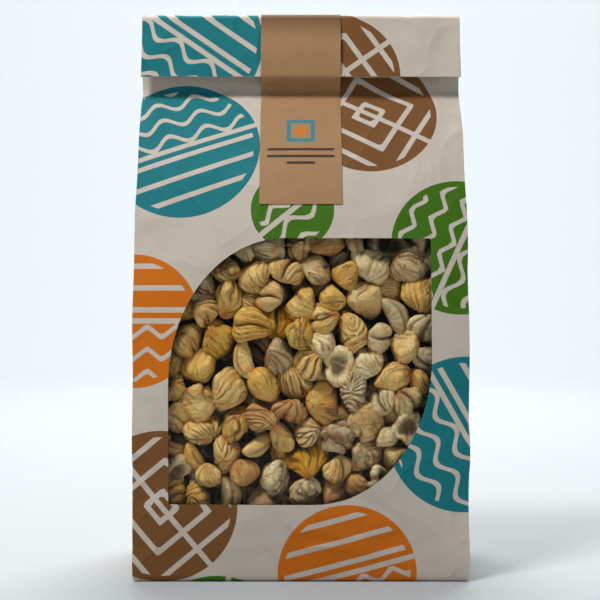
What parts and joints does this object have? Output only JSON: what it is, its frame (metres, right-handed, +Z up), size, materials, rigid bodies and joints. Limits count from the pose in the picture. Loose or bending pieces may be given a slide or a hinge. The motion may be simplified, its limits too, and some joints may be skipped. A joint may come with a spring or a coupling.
{
  "type": "bag of dried chestnuts",
  "caption": "Block-bottom paper bag with a folded-over top, a label strip across the fold and a leaf-shaped clear window onto peeled dried chestnuts.",
  "frame": {"origin": "middle of the flat base", "axes": "+Z up, the front with the window faces -Y, +X to the right as seen from the front"},
  "size_m": [0.165, 0.0893, 0.279],
  "materials": {
    "paper": "uncoated pale paper with a printed pattern of discs",
    "film": "clear glossy film",
    "kraft": "unbleached kraft paper, matt",
    "nuts": "dry, matt, pale straw to tan"
  },
  "bodies": {
    "root": {"paper_bag": "paper", "window_film": "film", "label_strip": "kraft", "chestnuts": "nuts"}
  },
  "joints": []
}
